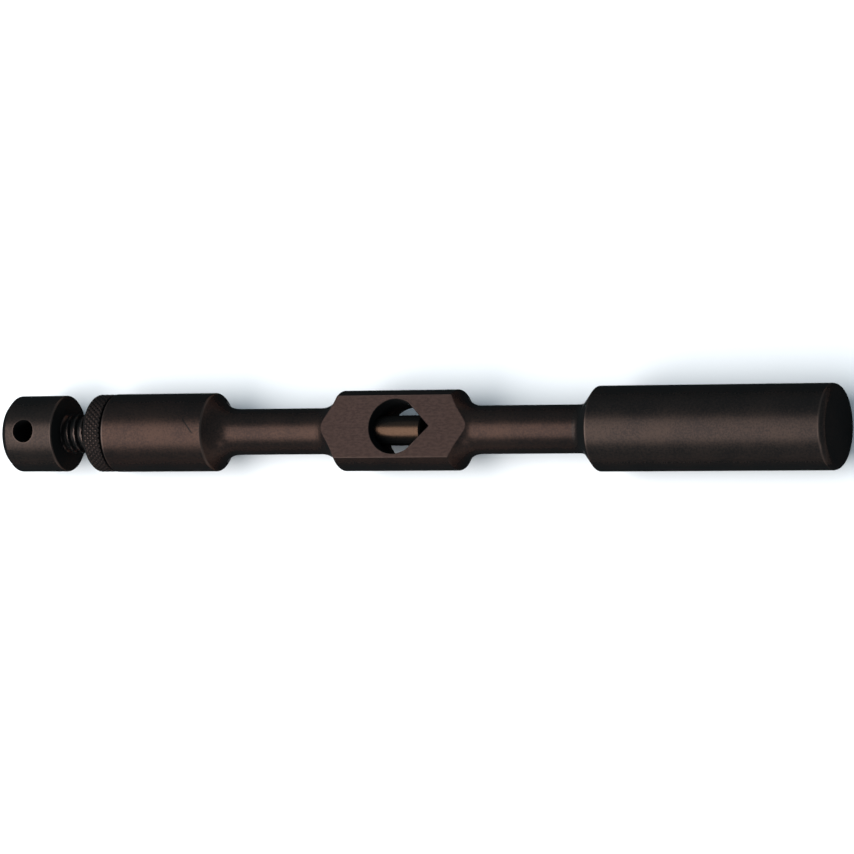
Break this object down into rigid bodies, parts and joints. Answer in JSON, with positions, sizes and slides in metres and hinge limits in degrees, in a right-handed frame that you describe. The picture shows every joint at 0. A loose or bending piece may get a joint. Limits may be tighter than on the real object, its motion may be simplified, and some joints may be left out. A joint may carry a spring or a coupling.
{
  "type": "adjustable bar wrench",
  "caption": "Steel bar wrench with a flatted boss, a vee work opening closed by a screw-driven round jaw, a drilled clamp knob, a knurled lock ring and barrel grips.",
  "frame": {"origin": "on the bar's axis, at the centre of the round part of the work opening", "axes": "+X along the bar towards the plain handle barrel, +Z along the work opening's axis, square to the boss's flats, +Y across the boss"},
  "size_m": [0.285, 0.0266, 0.0266],
  "materials": {
    "oxide_body": "brown-black oxide over milled and turned steel, satin",
    "oxide_barrel": "brown-black oxide over fine-turned steel, satin",
    "oxide_knob": "brown-black oxide over turned steel, satin",
    "oxide_ring": "brown-black oxide over a diamond knurl",
    "oxide_screw": "oiled black oxide on a cut thread",
    "oxide_washer": "dull black oxide",
    "jaw_steel": "straw-brown tempered steel, ground",
    "pin_steel": "ground steel, oxide-toned",
    "bright_steel": "hardened and polished"
  },
  "bodies": {
    "bar": {"centre_body": "oxide_body", "left_barrel": "oxide_barrel", "right_barrel": "oxide_barrel", "left_barrel_pin": "pin_steel", "right_barrel_pin": "pin_steel"},
    "jaw": {"jaw_rod": "jaw_steel", "thrust_ball": "bright_steel"},
    "screw": {"clamp_screw": "oxide_screw", "clamp_knob": "oxide_knob", "knob_pin": "pin_steel", "swivel_pins": "bright_steel"},
    "washer": {"lock_washer": "oxide_washer"},
    "ring": {"lock_ring": "oxide_ring"}
  },
  "joints": [
    {"name": "jaw_slide", "type": "slide", "parent": "bar", "child": "jaw", "axis": [-1, 0, 0], "range_m": [0, 0.016]},
    {"name": "knob_turn", "type": "hinge", "parent": "jaw", "child": "screw", "pos_m": [-0.1, 0, 0], "axis": [-1, 0, 0], "range_deg": [0, 2268]},
    {"name": "washer_slide", "type": "slide", "parent": "bar", "child": "washer", "axis": [-1, 0, 0], "range_m": [0, 0.01016]},
    {"name": "ring_turn", "type": "hinge", "parent": "washer", "child": "ring", "pos_m": [-0.1056, 0, 0], "axis": [-1, 0, 0], "range_deg": [0, 1440.5]}
  ],
  "couplings": [
    {"joint": "knob_turn", "follows": "jaw_slide", "rad_per_m": 2473.7},
    {"joint": "ring_turn", "follows": "washer_slide", "rad_per_m": 2473.7}
  ]
}
